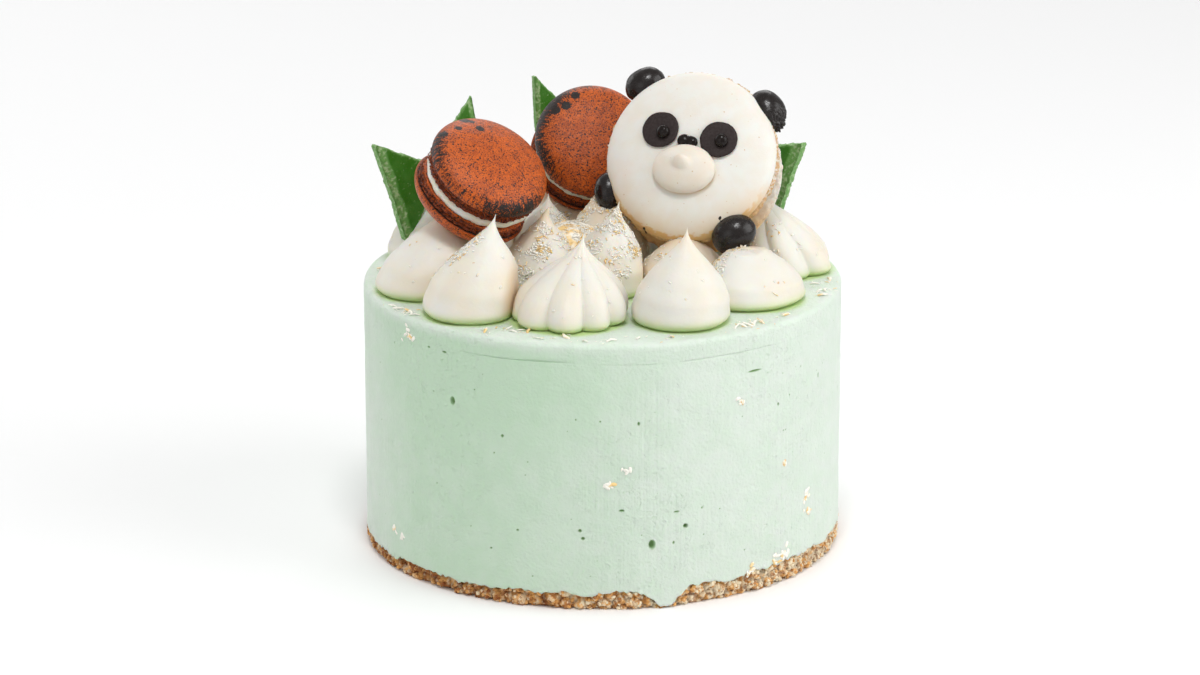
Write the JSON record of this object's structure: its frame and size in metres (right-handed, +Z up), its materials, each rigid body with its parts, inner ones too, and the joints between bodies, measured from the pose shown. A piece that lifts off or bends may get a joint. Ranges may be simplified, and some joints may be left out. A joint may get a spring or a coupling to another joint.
{
  "type": "pandan mousse cake",
  "caption": "Round pale green mousse cake on a crumb base, dressed with piped cream drops, cocoa macarons, a panda-faced macaron, green chocolate shards and coconut.",
  "frame": {"origin": "centre of the flat underside of the crumb base", "axes": "+Z up; the panda's face and the front of the cake look along -Y"},
  "size_m": [0.15, 0.15, 0.1467],
  "materials": {
    "mousse": "pale mint green mousse, softly satin, with small air pores and fine scrape lines",
    "crumb": "golden brown toasted biscuit crumbs, rough",
    "cream": "ivory whipped cream, smooth and matte with a soft sheen",
    "coconut": "cream to golden coconut flakes",
    "cocoa_shell": "terracotta macaron shell dusted with dark cocoa specks and brushed streaks",
    "filling": "cream coloured soft filling",
    "panda_shell": "ivory macaron shell with fine specks and a toasted lower edge",
    "black_icing": "dark charcoal icing, matte",
    "black_drop": "black chocolate drop with a dull gloss",
    "green_chocolate": "deep green chocolate with pale powdery broken edges"
  },
  "bodies": {
    "root": {"cocoa_back_back_shell": "cocoa_shell", "cocoa_back_filling": "filling", "cocoa_back_front_shell": "cocoa_shell", "cocoa_left_back_shell": "cocoa_shell", "cocoa_left_filling": "filling", "cocoa_left_front_shell": "cocoa_shell", "coconut_drift": "coconut", "cream_back": "cream", "cream_back_right": "cream", "cream_front_left": "cream", "cream_front_left_side": "cream", "cream_front_right": "cream", "cream_inner_back": "cream", "cream_inner_back_right": "cream", "cream_inner_far_left": "cream", "cream_inner_front": "cream", "cream_inner_left": "cream", "cream_inner_mid": "cream", "cream_inner_mid_left": "cream", "cream_inner_right": "cream", "cream_left_side": "cream", "cream_right": "cream", "cream_star_back": "cream", "cream_star_back_left": "cream", "cream_star_front": "cream", "cream_star_right": "cream", "crumb_base": "crumb", "mousse_drum": "mousse", "panda_back_shell": "panda_shell", "panda_ear_left": "black_drop", "panda_ear_right": "black_drop", "panda_eye_patch_left": "black_icing", "panda_eye_patch_right": "black_icing", "panda_filling": "filling", "panda_front_shell": "panda_shell", "panda_muzzle": "panda_shell", "panda_nose": "black_icing", "panda_paw_left": "black_drop", "panda_paw_right": "black_drop", "panda_pupil_left": "black_icing", "panda_pupil_right": "black_icing", "shard_back": "green_chocolate", "shard_back_left": "green_chocolate", "shard_left": "green_chocolate", "shard_right": "green_chocolate"}
  },
  "joints": []
}
